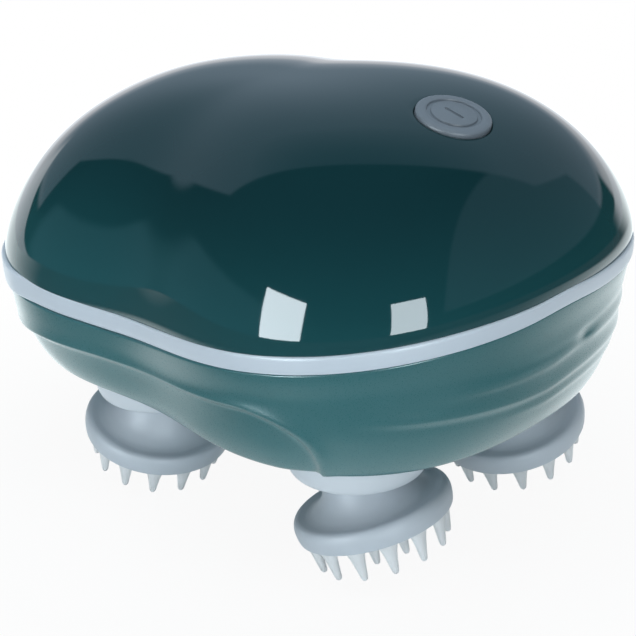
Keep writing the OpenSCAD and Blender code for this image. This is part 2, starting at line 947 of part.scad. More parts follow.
// Point in front of the plug under the board, out away from it, for wire number k
function plug_point(k, out) = let (x = -3 - out, z = board_top - board_t - plug_h/2)
    [button_x + x*cos(button_tilt) + z*sin(button_tilt), 1.4 - 2*k,
    button_z() - x*sin(button_tilt) + z*cos(button_tilt)];

// Points whose heights are measured over the lower shell's underside
function over_shell(points) = [for (p = points) p + [0, 0, shell_z]];

// The last two points of every wire
function plug_end(k) = [plug_point(k, 3), plug_point(k, wire_gap)];

// Point over a terminal of the motor, at its x
function motor_point(x, up) = [head_x + x, motor_y + motor_l + 1.6, worm_z + 0.2 + up];

// Point beside the charging socket
function jack_point(k, out) = [jack_x + jack_block.x/2 + out,
    jack_face - jack_l + 1.4 + 2.2*k, jack_z];

// Point over one end of the battery tray
function cell_point(side, up) = [head_x + side*(cell_l + tray_wall)/2, cell_y,
    tray_z + tray_h + up];

module red_wires() {
    color([0.7, 0.1, 0.1]) {
        wire(concat([motor_point(4, wire_gap), motor_point(4, 3)],
            over_shell([[12, 41, 31.8], [18, 34, 41.8], [26, 12, 47.3]]), plug_end(0)));
        wire(concat([jack_point(1, wire_gap), jack_point(1, 0.8)],
            over_shell([[-12.2, 39.9, 9.8], [-12.8, 39.8, 19.8], [-13, 35, 31.8],
            [0, 20, 40.8], [14, 8, 46.8]]), plug_end(2)));
        wire(concat([cell_point(1, wire_gap), cell_point(1, 3)],
            over_shell([[39, -13, 46.3], [34, -12, 47.4]]), plug_end(5)));
    }
}

module black_wires() {
    color(dark_plastic) {
        wire(concat([motor_point(-4, wire_gap), motor_point(-4, 3)],
            over_shell([[2, 40, 31.8], [8, 32, 41.8], [21, 9, 47.6]]), plug_end(1)));
        wire(concat([jack_point(0, wire_gap), jack_point(0, 0.8)],
            over_shell([[-12.2, 38, 9.8], [-12.8, 38, 19.8], [-14, 32.5, 31.8],
            [-2, 17, 40.8], [12, 4, 47]]), plug_end(3)));
        wire(concat([cell_point(-1, wire_gap), cell_point(-1, 5)],
            over_shell([[-22, -11, 47.2], [20, -7, 47.4]]), plug_end(4)));
    }
}

// ---- shafts and heads -------------------------------------------------

module shaft_bushes() {
    color(brass)
    at_each(heads, seal_z)
        tube(bush_r, shaft_r + run_gap, boss_z - seal_z);
}

module shaft_seals() {
    color(dark_plastic)
    at_each(heads, shell_z + 0.2)
        tube(seal_r, shaft_r + run_gap, seal_z - shell_z - 0.2);
}

module crank(h) {
    disc_z = shell_z - crank_gap;
    color(steel)
    difference() {
        union() {
            translate([h.x, h.y, disc_z - crank_t])
                cylinder(r = crank_r, h = crank_t);
            translate([h.x, h.y, disc_z - 1])
                cylinder(r = shaft_r, h = gear_z - disc_z + 1 - run_gap);
            translate([h.x, h.y, gear_z - 0.1])
                shaft_section(gear_t + gear_hub_h + 0.1, -0.02);
            translate([h.x, h.y, gear_z + gear_t + gear_hub_h])
                cylinder(r = shaft_r, h = tray_z - gear_z - gear_t - gear_hub_h);
            at_head(h) {
                translate([0, 0, hub_top + run_gap])
                    cylinder(r = 4.4, h = 3.2);
                translate([0, 0, -hub_seat + run_gap])
                    cylinder(r = pin_r, h = hub_seat + 2);
            }
        }
        at_head(h)
            translate([0, 0, -hub_seat - 1])
                cylinder(r = 0.9, h = 7);
    }
}

module crank_front() { crank(front); }
module crank_right() { crank(right); }
module crank_left() { crank(left); }
module crank_back() { crank(back); }

// Grey cup of one head, turning on the crank's pin
module head_cup(h) {
    low = -cup_drop - 0.1;
    color(cup_grey)
    at_head(h)
        rotate_extrude()
            polygon([[pin_r + run_gap, hub_top], [7.5, hub_top], [7.7, -1], [8.2, -3],
                [9.1, rim_top + 2.8], [10.4, rim_top + 0.9], [12, rim_top - 0.3],
                [13.3, rim_top - 0.6], [14.3, rim_top - 0.4], [cup_r - 1.3, rim_top],
                [cup_r - 0.6, rim_top - 0.2], [cup_r - 0.15, rim_top - 1],
                [cup_r, rim_top - 2.2], [cup_r - 0.05, rim_top - 3.4],
                [cup_r - 0.25, rim_top - 4.4], [cup_r - 0.5, low],
                [pad_r, low], [pad_r, low + pad_t], [screw_seat_r, low + pad_t],
                [screw_seat_r, -hub_seat], [pin_r + run_gap, -hub_seat]]);
}

module head_cup_front() { head_cup(front); }
module head_cup_right() { head_cup(right); }
module head_cup_left() { head_cup(left); }
module head_cup_back() { head_cup(back); }

// One finger, from its tip at the origin up to its root
module finger(lean) {
    rotate([0, lean, 0])
    scale([finger_flat, 1, 1]) {
        cylinder(r1 = tip_r, r2 = finger_tip_r, h = 0.5, $fn = 20);
        translate([0, 0, 0.5])
            cylinder(r1 = finger_tip_r, r2 = finger_root_r, h = finger_l + 0.3, $fn = 20);
    }
}

module finger_pad(h) {
    low = -cup_drop - 0.1;
    color(pad_white)
    at_head(h) {
        translate([0, 0, low])
            difference() {
                cylinder(r = pad_r - run_gap, h = pad_t);
                translate([0, 0, pad_t - 0.4])
                    cylinder(r = screw_seat_r, h = 1);
            }
        for (i = [0:outer_fingers-1])
            rotate([0, 0, 360*i/outer_fingers])
                translate([tip_ring_r, 0, -tip_reach])
                    finger(finger_lean);
        for (i = [0:inner_fingers-1])
            rotate([0, 0, 360*(i + 0.5)/inner_fingers])
                translate([inner_ring_r, 0, -tip_reach + 0.3])
                    finger(0);
    }
}

module finger_pad_front() { finger_pad(front); }
module finger_pad_right() { finger_pad(right); }
module finger_pad_left() { finger_pad(left); }
module finger_pad_back() { finger_pad(back); }

// Screw and washer that hold a cup on its pin
module head_screw(h) {
    color(steel)
    at_head(h) {
        translate([0, 0, -hub_seat - 0.5])
            cylinder(r = 3.2, h = 0.5);
        translate([0, 0, -hub_seat - 1.6])
            difference() {
                cylinder(r = 1.8, h = 1.2);
                translate([0, 0, -eps])
                    cross_slot(0.6);
            }
        translate([0, 0, -hub_seat - 1])
            cylinder(r = 0.85, h = 6);
    }
}

module head_screw_front() { head_screw(front); }
module head_screw_right() { head_screw(right); }
module head_screw_left() { head_screw(left); }
module head_screw_back() { head_screw(back); }

top_cover();
trim_ring();
lower_shell();
collar_front();
collar_right();
collar_left();
collar_back();
power_button();
button_seal();
tact_switch();
control_board();
board_parts();
board_screws();
charge_jack();
battery_cell();
battery_tray();
motor_can();
motor_end_cap();
motor_magnets();
motor_armature();
motor_shaft();
motor_clamp();
worm();
compound_gear_a();
compound_gear_b();
gear_axles();
gearbox_base();
gearbox_cover();
gearbox_screws();
housing_screws();
red_wires();
black_wires();
shaft_bushes();
shaft_seals();
output_gear_front();
output_gear_right();
output_gear_left();
output_gear_back();
crank_front();
crank_right();
crank_left();
crank_back();
head_cup_front();
head_cup_right();
head_cup_left();
head_cup_back();
finger_pad_front();
finger_pad_right();
finger_pad_left();
finger_pad_back();
head_screw_front();
head_screw_right();
head_screw_left();
head_screw_back();
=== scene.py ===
import json
import math

import bpy
import numpy as np
from mathutils import Matrix, Vector


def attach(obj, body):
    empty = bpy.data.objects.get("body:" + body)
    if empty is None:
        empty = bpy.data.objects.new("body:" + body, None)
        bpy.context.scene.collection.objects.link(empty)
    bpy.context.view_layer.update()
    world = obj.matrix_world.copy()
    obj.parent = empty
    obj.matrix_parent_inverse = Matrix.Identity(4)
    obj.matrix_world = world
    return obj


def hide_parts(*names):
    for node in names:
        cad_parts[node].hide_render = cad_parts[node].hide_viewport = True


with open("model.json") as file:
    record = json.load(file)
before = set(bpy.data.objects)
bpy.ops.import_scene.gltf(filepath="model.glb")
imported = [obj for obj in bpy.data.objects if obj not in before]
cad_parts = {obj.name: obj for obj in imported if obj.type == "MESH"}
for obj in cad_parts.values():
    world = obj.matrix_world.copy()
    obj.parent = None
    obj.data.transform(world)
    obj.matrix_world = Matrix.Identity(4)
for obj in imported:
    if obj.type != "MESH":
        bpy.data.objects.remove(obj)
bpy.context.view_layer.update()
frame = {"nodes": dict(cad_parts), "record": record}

# ---- sizes, in millimetres and degrees, as the housing and heads are built ----

MM = 0.001
# The body's outline from above: its mean radius, its centre and its waves
PLAN_MEAN, PLAN_X = 60.3, -2.9
PLAN_WAVES = ((1, 0.057), (2, 0.203), (3, -0.016), (4, -0.052))
# Heights where the heads' axes cross their cranks', and of the shell's flat underside
WOBBLE_Z = 22.7066
SHELL_Z = WOBBLE_Z + 6
# The widest line: its height over the underside, and its slope and bend along x
SEAM_UP, SEAM_SLOPE, SEAM_BEND = 24.8, 0.0763, 0.00063
# The dome: its rise over the widest line, and how full its side and how flat its top is
DOME_RISE, DOME_SIDE, DOME_TOP = 37.5, 3, 1.5
DOME_WALL, SHELL_WALL = 1.7, 2.1
BUTTON_X, BUTTON_TILT, BUTTON_R, SLEEVE_R = 42.6, 17, 7.5, 7.6
# The four heads: where each crank stands, and the way its head leans
HEAD_TILT = 15.4
HEAD_X, HEAD_DX, HEAD_DY = 6.5, 28.999, 23.2015
HEADS = {
    "front": (HEAD_X + HEAD_DX, -HEAD_DY, 17.5),
    "right": (HEAD_X + HEAD_DX, HEAD_DY, 92),
    "left": (HEAD_X - HEAD_DX, -HEAD_DY, 176.5),
    "back": (HEAD_X - HEAD_DX, HEAD_DY, 70),
}
# The fingers of a pad: how far down the tips reach, the radii of their rings, and how many
TIP_REACH, TIP_RING_R, INNER_RING_R, FINGER_LEAN = 19.9, 13.2, 7.2, 5
OUTER_FINGERS, INNER_FINGERS = 13, 7
# The charging socket in the rear side wall
JACK_X, JACK_FACE, JACK_Z, JACK_R = -17.03, 44.81, SHELL_Z + 5.8, 3.0


def plan_r(a):
    """Radius of the body's outline at angle a, in radians, from the plan's centre."""
    return PLAN_MEAN * np.exp(sum(share * np.cos(k * a) for k, share in PLAN_WAVES))


def seam_z(x):
    """Height of the widest line at x."""
    return SHELL_Z + SEAM_UP + SEAM_SLOPE * (x - PLAN_X) + SEAM_BEND * (x - PLAN_X) ** 2


def dome_z(x, y):
    """Height of the dome's outer face over a point of the plan."""
    s = np.hypot(x - PLAN_X, y) / plan_r(np.arctan2(y, x - PLAN_X))
    return seam_z(x) + DOME_RISE * np.clip(1 - s ** DOME_SIDE, 0, 1) ** (1 / DOME_TOP)


def ease(t):
    """0 below 0, 1 above 1 and smooth between."""
    t = np.clip(t, 0, 1)
    return t * t * (3 - 2 * t)


def by_angle(table, a):
    """A value that follows the angle from the nose in degrees, the same on both sides.

    It is averaged over a few degrees, so that the table's corners don't show.
    """
    angles, values = zip(*table)
    near = np.abs(np.degrees(np.arctan2(np.sin(a), np.cos(a))))
    return sum(np.interp(np.abs(near + k), angles, values) for k in (-3, -1, 1, 3)) / 4


def stack(x, y, z):
    """Rows of points from their three coordinates."""
    return np.stack(np.broadcast_arrays(x, y, z), axis=-1)


def band(a, s, inset, h):
    """Points that follow the widest line: s of the outline's radius, drawn in by inset, h above."""
    r = plan_r(a) * s - inset
    return stack(r * np.cos(a) + PLAN_X, r * np.sin(a), seam_z(plan_r(a) * np.cos(a) + PLAN_X) + h)


def outward(a):
    """Level direction square to the outline at angle a."""
    step = 1e-3
    ahead, behind = (stack(plan_r(b) * np.cos(b), plan_r(b) * np.sin(b), 0)
                     for b in (a + step, a - step))
    run = ahead - behind
    out = stack(run[..., 1], -run[..., 0], 0)
    return out / np.linalg.norm(out, axis=-1, keepdims=True)


def corner_share(a):
    """1 where the outline turns its four corners and 0 at its ends and widest points."""
    out = outward(a)
    diagonal = 4 * (out[..., 0] * out[..., 1]) ** 2
    return ease((diagonal - 0.02) / 0.5)


def tail_share(a):
    """0 round the nose half and 1 round the tail."""
    return by_angle([(0, 0), (70, 0), (80, 0.1), (95, 0.5), (110, 0.9), (120, 1), (180, 1)], a)


def at_head(name):
    """The place of a head, which leans away from its crank's upright axis."""
    x, y, lean_way = HEADS[name]
    return (Matrix.Translation(Vector((x, y, WOBBLE_Z)) * MM)
            @ Matrix.Rotation(math.radians(lean_way), 4, "Z")
            @ Matrix.Rotation(math.radians(-HEAD_TILT), 4, "Y"))


def at_button():
    """The place of the button, square to its own tilted axis on the dome."""
    z = float(dome_z(BUTTON_X, 0.0))
    return (Matrix.Translation(Vector((BUTTON_X, 0, z)) * MM)
            @ Matrix.Rotation(math.radians(BUTTON_TILT), 4, "Y"))


# ---- modelling helpers ----

def clear():
    """Leaves edit mode and deselects everything."""
    if bpy.context.object and bpy.context.object.mode != "OBJECT":
        bpy.ops.object.mode_set(mode="OBJECT")
    bpy.ops.object.select_all(action="DESELECT")


def only(piece):
    """Selects one piece and nothing else."""
    clear()
    piece.select_set(True)
    bpy.context.view_layer.objects.active = piece


def weld(piece, near=1e-7):
    """Joins doubled corners and turns all faces outwards."""
    only(piece)
    bpy.ops.object.mode_set(mode="EDIT")
    bpy.ops.mesh.select_all(action="SELECT")
    bpy.ops.mesh.remove_doubles(threshold=near)
    bpy.ops.mesh.normals_make_consistent(inside=False)
    bpy.ops.object.mode_set(mode="OBJECT")


def read_corners(piece):
    """The corners of a piece's mesh as rows of three, in metres."""
    flat = np.empty(len(piece.data.vertices) * 3)
    piece.data.vertices.foreach_get("co", flat)
    return flat.reshape(-1, 3)


def write_corners(piece, corners):
    """Moves the corners of a piece's mesh to new places, in metres."""
    piece.data.vertices.foreach_set("co", corners.ravel())
    piece.data.update()


def skin(name, rings):
    """A grid laid over closed rings of points and welded: the last ring joins the first."""
    rings = np.asarray(rings)
    along, around = rings.shape[:2]
    clear()
    bpy.ops.mesh.primitive_grid_add(x_subdivisions=around, y_subdivisions=along, size=1)
    piece = bpy.context.object
    piece.name = name
    flat = read_corners(piece) + 0.5
    column = np.rint(flat[:, 0] * around).astype(int) % around
    row = np.rint(flat[:, 1] * along).astype(int) % along
    write_corners(piece, rings[row, column] * MM)
    weld(piece)
    return piece


def flowing(points, parts=4):
    """A smooth line through the points."""
    p = np.array(points, float)
    p = np.vstack([2 * p[0] - p[1], p, 2 * p[-1] - p[-2]])
    line = []
    for a, b, c, d in zip(p, p[1:], p[2:], p[3:]):
        for t in np.arange(parts) / parts:
            line.append(0.5 * (2 * b + (c - a) * t + (2 * a - 5 * b + 4 * c - d) * t ** 2
                               + (3 * b - a - 3 * c + d) * t ** 3))
    return [tuple(q) for q in line] + [tuple(points[-1])]


def turned(name, outline, steps=96):
    """A piece turned round the Z axis from its outline of radius and height."""
    clear()
    bpy.ops.mesh.primitive_plane_add(size=MM)
    piece = bpy.context.object
    piece.name = name
    bpy.ops.object.mode_set(mode="EDIT")
    bpy.ops.mesh.select_all(action="SELECT")
    bpy.ops.mesh.merge(type="CENTER")
    here = Vector((0, 0, 0))
    for radius, height in outline:
        there = Vector((radius, 0, height)) * MM
        bpy.ops.mesh.extrude_region_move(TRANSFORM_OT_translate={"value": there - here})
        here = there
    bpy.ops.object.mode_set(mode="OBJECT")
    piece.data.vertices[0].select = True
    for corner in piece.data.vertices[1:]:
        corner.select = False
    bpy.ops.object.mode_set(mode="EDIT")
    bpy.ops.mesh.delete(type="VERT")
    bpy.ops.mesh.select_all(action="SELECT")
    bpy.ops.mesh.spin(steps=steps, angle=2 * math.pi, center=(0, 0, 0), axis=(0, 0, 1))
    bpy.ops.object.mode_set(mode="OBJECT")
    weld(piece)
    return piece


def another(piece, name, place):
    """A copy of a modelled piece with its own mesh, put in place."""
    new = bpy.data.objects.new(name, piece.data.copy())
    bpy.context.scene.collection.objects.link(new)
    new.data.transform(place)
    return new


def cut(piece, tool, operation):
    """Adds or takes away the tool's shape, and then the tool itself."""
    change = piece.modifiers.new(operation.lower(), "BOOLEAN")
    change.operation, change.solver, change.object = operation, "MANIFOLD", tool
    only(piece)
    bpy.ops.object.modifier_apply(modifier=change.name)
    bpy.data.objects.remove(tool)


def soften(piece, angle=35):
    """Shades a piece smooth but for edges that turn by more than the angle, in degrees."""
    only(piece)
    bpy.ops.object.shade_smooth_by_angle(angle=math.radians(angle))


def core_of(node, draw_in):
    """A copy of a node's own solid, with its outer face drawn in behind the new skin."""
    core = bpy.data.objects.new(node + "_core", frame["nodes"][node].data.copy())
    bpy.context.scene.collection.objects.link(core)
    weld(core)
    corners = read_corners(core) / MM
    write_corners(core, draw_in(corners) * MM)
    return core


def finished(piece, body, slot, *nodes):
    """Gives a piece its finish, hangs it on the body it rides on, and hides the nodes it stands
    for.
    """
    piece.data.materials.clear()
    piece.data.materials.append(FINISHES[slot])
    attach(piece, body)
    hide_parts(*nodes)


# ---- finishes ----

def linear(code):
    """An sRGB hex colour as the linear colour that a shader takes."""
    parts = [int(code[k:k + 2], 16) / 255 for k in (1, 3, 5)]
    return [c / 12.92 if c <= 0.04045 else ((c + 0.055) / 1.055) ** 2.4 for c in parts] + [1]


# The colour sockets of a Mix node come after those for plain numbers and vectors
COLOURS = {"data_type": "RGBA"}
MIX_A, MIX_B, MIX_OUT = 6, 7, 2
EASED = {"interpolation_type": "SMOOTHSTEP"}
TIMES, MINUS, LARGER = ({"operation": name} for name in ("MULTIPLY", "SUBTRACT", "MAXIMUM"))


def add(tree, kind, settings=None, sockets=()):
    """Adds one node, with its sockets by name or in order.

    A socket takes a plain value or another node's output. A whole node stands for its first.
    """
    step = tree.nodes.new(kind)
    for name, value in (settings or {}).items():
        setattr(step, name, value)
    for name, value in sockets.items() if isinstance(sockets, dict) else enumerate(sockets):
        socket = step.inputs[name]
        if isinstance(value, bpy.types.Node):
            value = value.outputs[0]
        if isinstance(value, bpy.types.NodeSocket):
            tree.links.new(value, socket)
        else:
            socket.default_value = value
    return step


def finish(name, light, dark, rough, patch_mm, grain_mm, depth_mm, stretch=(1, 1, 1), low=None,
           **shader):
    """A surface whose colour drifts between two shades over patch_mm, with a fine grain.

    low is a lighter colour painted on its lower edge as painted light from below, with the heights
    in mm where it begins and has faded.
    """
    material = bpy.data.materials.new(name)
    material.use_nodes = True
    tree = material.node_tree
    tree.nodes.clear()
    place = add(tree, "ShaderNodeTexCoord").outputs["Object"]
    along = add(tree, "ShaderNodeMapping", sockets={"Vector": place, "Scale": stretch})
    patch, grain = (add(tree, "ShaderNodeTexNoise", sockets={
        "Vector": along, "Scale": 1 / (size * MM), "Detail": detail})
        for size, detail in ((patch_mm, 3.0), (grain_mm, 2.0)))
    colour = add(tree, "ShaderNodeMix", COLOURS, {
        0: patch, MIX_A: linear(dark), MIX_B: linear(light)})
    # Painted light: the colour turns lighter towards the lower edge
    if low:
        height = add(tree, "ShaderNodeSeparateXYZ", sockets=[place]).outputs["Z"]
        share = add(tree, "ShaderNodeMapRange", EASED, [height, low[1] * MM, low[2] * MM])
        colour = add(tree, "ShaderNodeMix", COLOURS, {
            0: share, MIX_A: linear(low[0]), MIX_B: colour.outputs[MIX_OUT]})
    # Most of the noise lies between 0.3 and 0.7, so the roughness varies by 15% each way
    gloss = add(tree, "ShaderNodeMapRange", None, [grain, 0.3, 0.7, rough * 0.85, rough * 1.15])
    bump = add(tree, "ShaderNodeBump", sockets={
        "Height": grain, "Strength": 1.0, "Distance": depth_mm * MM})
    surface = add(tree, "ShaderNodeBsdfPrincipled", sockets={
        "Base Color": colour.outputs[MIX_OUT], "Roughness": gloss, "Normal": bump, **shader})
    add(tree, "ShaderNodeOutputMaterial", sockets={"Surface": surface})
    return material


# The grain of a satin mould is about 0.05 mm wide. It is drawn 0.2 to 0.4 mm wide, so that it
# shows at all.
FINISHES = {
    # Dark teal ABS from a mirror-polished mould: sharp reflections, faintly uneven as moulded
    "dome_gloss": finish("polished_teal_abs", "#15383D", "#103237", 0.04, 40, 14, 0.006,
                         # Its lower part is painted lighter, as painted light from below
                         low=("#1E5156", 50, 84), **{"IOR": 1.5}),
    # Silver-grey satin lacquer on ABS: soft broad sheen with a fine sparkle
    "trim_satin": finish("silver_satin_lacquer", "#DAE4EE", "#D2DEE9", 0.36, 12, 0.35, 0.003),
    # Grey-teal ABS with a fine satin texture from the mould
    "shell_satin": finish("satin_teal_abs", "#38757A", "#336F74", 0.3, 25, 0.2, 0.001,
                          **{"IOR": 1.6, "Coat Weight": 0.5, "Coat Roughness": 0.22}),
    # Pale moulded ABS: satin, with a soft sheen along its rims
    "collar_plastic": finish("pale_moulded_abs", "#E4EAF0", "#DCE4EB", 0.42, 15, 0.3, 0.003),
    # Grey moulded ABS: satin, a little duller than the dome so that it stands off it
    "button_plastic": finish("grey_moulded_abs", "#78838D", "#727C86", 0.45, 8, 0.25, 0.004),
    # Black rubber: nearly without a sheen
    "seal_rubber": finish("black_rubber", "#2A2C2E", "#222426", 0.75, 3, 0.2, 0.01),
    # Dark moulded nylon: dull and faintly mottled
    "dark_plastic": finish("dark_moulded_nylon", "#2E3236", "#272A2E", 0.5, 5, 0.25, 0.006),
    # Solder mask screened on a board: an even glossy green
    "board_green": finish("green_solder_mask", "#1F5A3C", "#194C32", 0.3, 4, 0.4, 0.004),
    # Turned steel: bright, with the fine marks of the tool across its length
    "steel": finish("turned_steel", "#B9BABD", "#A6A8AB", 0.3, 6, 0.2, 0.003,
                    stretch=(1, 1, 8), Metallic=1.0),
    # Shrunk PVC film: glossy, with slight waves where it has shrunk
    "cell_sleeve": finish("shrink_film_sleeve", "#2F6AA8", "#2A5F98", 0.25, 9, 1.5, 0.01),
    # Pressed ferrite: dull and speckled
    "magnet_grey": finish("pressed_ferrite", "#3A3A3C", "#303032", 0.7, 2, 0.15, 0.01),
    # Enamelled copper wire, wound: a warm sheen with the lines of the wires
    "copper_winding": finish("enamelled_copper", "#B4633A", "#8E4526", 0.35, 1.2, 0.4, 0.05,
                             stretch=(1, 4, 1), Metallic=0.8),
    # Turned brass: warm and bright
    "brass": finish("turned_brass", "#C9A45A", "#B48F49", 0.28, 5, 0.2, 0.003, Metallic=1.0),
    # Moulded acetal in white and in grey: waxy, with a soft highlight
    "acetal_white": finish("white_acetal", "#ECE9E0", "#E2DED4", 0.35, 6, 0.3, 0.004),
    "acetal_grey": finish("grey_acetal", "#8C9093", "#808487", 0.38, 6, 0.3, 0.004),
    # Extruded PVC sleeves of the wires: smooth, half glossy
    "wire_red": finish("red_pvc_sleeve", "#B0261E", "#98201A", 0.4, 3, 0.3, 0.004),
    "wire_black": finish("black_pvc_sleeve", "#202122", "#18191A", 0.4, 3, 0.3, 0.004),
    # Grey moulded ABS of the kneading cups: satin, so that its coves shade softly
    "cup_plastic": finish("satin_grey_abs", "#CED6DE", "#C6CFD8", 0.5, 15, 0.3, 0.002),
    # Milky silicone: light goes a little way in, the skin is dull
    "finger_silicone": finish("milky_silicone", "#F3F5F6", "#EAEDEF", 0.42, 5, 0.4, 0.004,
                              **{"Subsurface Weight": 0.6, "Subsurface Scale": 0.0012,
                                 "Subsurface Radius": (1.0, 1.0, 1.0)}),
}

for part in frame["record"]["subparts"]:
    node = frame["nodes"][part["node"]]
    node.data.materials.clear()
    node.data.materials.append(FINISHES[part["material_slot"]])

# ---- dome ----

DOME_STEPS, DOME_ROWS, DOME_INNER_ROWS = 288, 112, 14
# A fuller crown over the tail: how much it adds, at which x, and how wide it spreads
CROWN_UP, CROWN_X, CROWN_SPREAD = 0.75, -33, 11
# How far the corners at the tail stand out, and the height over the widest line where that ends
CORNER_BULGE, BULGE_TOP = 0.5, 23
# How far the node's own solid is drawn in behind the new skin
DOME_DRAW, SHELL_DRAW = 0.9, 1.5

dome_turn = np.linspace(0, 2 * math.pi, DOME_STEPS, endpoint=False)


def on_dome(radius, sink=0.0):
    """The ring where a tube round the button's axis meets the dome, sunk along that axis."""
    place = np.array(at_button())
    lean = place[:3, :3]
    level = stack(radius * np.cos(dome_turn), radius * np.sin(dome_turn), 0.0)
    up = np.zeros(DOME_STEPS)
    # Each round closes most of the gap that is left between the ring and the dome
    for _ in range(20):
        world = (level + stack(0, 0, up)) @ lean.T + place[:3, 3] / MM
        up += (dome_z(world[:, 0], world[:, 1]) - world[:, 2]) / math.cos(
            math.radians(BUTTON_TILT))
    return (level + stack(0, 0, up - sink)) @ lean.T + place[:3, 3] / MM


def dome_rings():
    """The dome's rings: from the button's hole over its face to the rim, and back inside."""
    hole = [on_dome(SLEEVE_R + wider, sink) for wider, sink in (
        (0.02, 1.6), (0.02, 0.4), (0.06, 0.18), (0.18, 0.05))]
    start = on_dome(SLEEVE_R + 0.4)
    rim = band(dome_turn, 1, 0, 0)
    stands = CORNER_BULGE * corner_share(dome_turn) * tail_share(dome_turn)
    bulge = outward(dome_turn) * stands[:, None]

    def on_the_way(w):
        """The share of the way from the hole to the rim, and its ring; rows gather at the rim."""
        share = 1 - (1 - w) ** 1.6
        return share, start + (rim - start) * share

    rings = []
    for w in np.linspace(0, 1, DOME_ROWS):
        _, p = on_the_way(w)
        up = dome_z(p[:, 0], p[:, 1])
        height = (up - seam_z(p[:, 0]))[:, None]
        from_crown = (p[:, 0] - CROWN_X) ** 2 + p[:, 1] ** 2
        up = up + CROWN_UP * np.exp(-from_crown / (2 * CROWN_SPREAD ** 2))
        fade = 1 - ease((height - 1) / (BULGE_TOP - 1))
        rings.append(stack(p[:, 0], p[:, 1], up) + bulge * fade)
    rings[-1] = rim + bulge
    lip = [band(dome_turn, 1, inset, h) + bulge for inset, h in (
        (0.02, -0.5), (0.1, -1.1), (0.25, -1.7), (0.4, -2.1), (0.6, -2.36), (1.8, -2.38))]
    inner = []
    centre = np.array([PLAN_X, 0, 0])
    for w in np.linspace(1, 0, DOME_INNER_ROWS):
        share, p = on_the_way(w)
        inside = centre + (p - centre) * (1 - DOME_WALL / PLAN_MEAN)
        # The wall thins towards the rim
        under = dome_z(inside[:, 0], inside[:, 1]) - DOME_WALL * (1 - 0.6 * share)
        inner.append(stack(inside[:, 0], inside[:, 1], under))
    return hole + rings + lip + inner


def dome_drawn_in(corners):
    """Sets the corners of the dome's own outer face a little way inside the new skin."""
    x, y, z = corners.T
    a = np.arctan2(y, x - PLAN_X)
    s = np.hypot(x - PLAN_X, y) / plan_r(a)
    rise = np.clip((z - seam_z(x)) / DOME_RISE, 0, None)
    outer = (s ** DOME_SIDE + rise ** DOME_TOP > 0.955) & (z > seam_z(x) - 2.9)
    shift = stack(-s * np.cos(a), -s * np.sin(a), -np.where(rise > 0, 1 - s ** 2, 0))
    return corners + np.where(outer[:, None], shift * DOME_DRAW, 0)


cover = skin("dome_cover", dome_rings())
cut(cover, core_of("top_cover", dome_drawn_in), "UNION")
soften(cover)
finished(cover, "housing", "dome_gloss", "top_cover")

# ---- trim band ----

# The band's upper and lower edges: height over the widest line, by angle from the nose
TRIM_TOP = [(0, -1.3), (5, -1.9), (11, -2.1), (16, -1.95), (22, -1.85), (40, -1.78), (59, -1.55),
            (70, -1.55), (86, -1.9), (94, -1.75), (102, -1.6), (108, -1.4), (116, -0.9),
            (122, -0.55), (128, -0.1), (140, 0.5), (180, 0.5)]
TRIM_FOOT = [(0, -5.0), (5, -5.4), (11, -5.75), (22, -5.62), (43, -5.45), (59, -5.6), (70, -5.75),
             (85, -6.1), (94, -6.2), (102, -6.1), (109, -5.8), (120, -5.5), (127, -5.35),
             (180, -5.2)]

trim_turn = np.linspace(0, 2 * math.pi, 480, endpoint=False)


def trim_ring(proud, top_share, lift=0.0):
    """One ring of the band: top_share 1 is at its upper edge and 0 at its lower one."""
    top, foot = by_angle(TRIM_TOP, trim_turn), by_angle(TRIM_FOOT, trim_turn)
    # It stands out at the corners, and more so at the tail
    stands = corner_share(trim_turn) * (0.25 + 1.05 * tail_share(trim_turn))
    line = band(trim_turn, 1, -proud, foot + (top - foot) * top_share + lift)
    return line + outward(trim_turn) * stands[:, None]


# Down its rounded face, round its lower edge, and up its back
trim = skin("trim_band", [trim_ring(*p) for p in (
    (-2.2, 1), (-0.62, 1), (-0.4, 1, -0.03), (-0.2, 1, -0.12), (-0.07, 1, -0.28),
    (-0.01, 1, -0.5), (0, 0.75), (-0.01, 0.5), (-0.07, 0.3), (-0.16, 0, 0.62), (-0.26, 0, 0.34),
    (-0.42, 0, 0.13), (-0.66, 0, 0.02), (-1.0, 0), (-3.4, 0), (-3.4, 1))])
soften(trim, 50)
finished(trim, "housing", "trim_satin", "trim_ring")

# ---- lower shell, with the creases along its sides and the grip ribs round its nose ----

shell_turn = np.linspace(-math.pi, math.pi, 432, endpoint=False)
shell_out = outward(shell_turn)
# The length along the outline up to each turn
outline = stack(plan_r(shell_turn) * np.cos(shell_turn), plan_r(shell_turn) * np.sin(shell_turn), 0)
outline_run = np.concatenate([[0], np.cumsum(np.linalg.norm(np.diff(outline, axis=0), axis=1))])

SHELL_ROWS, SHELL_INNER_ROWS = 122, 12
# The crease: its height over the underside by angle, how far its upper lip stands out, how
# deep the step under it is, and how wide both are
CREASE_LIP, CREASE_STEP, CREASE_WIDTH = 0.6, 1.1, 2.2
CREASE = [(-180, 8.2), (-160, 8.4), (-139, 9.2), (-123.5, 10.5), (-108.8, 11.4), (-96.3, 11.6),
          (-77.9, 12.3), (-63.4, 13.8), (-56, 14.6), (-50.5, 13.6), (-46.2, 11.2), (-43.5, 8.0),
          (-41.8, 3.6), (-41.2, -1.5)]


def run_at(degrees):
    """The length along the outline at an angle."""
    return np.interp(degrees, np.degrees(shell_turn), outline_run)


def shell_s(u):
    """The shell's share of the outline's radius, from u 0 at its rim to 1 at its underside."""
    return 0.973 - 0.094 * u ** 3.65


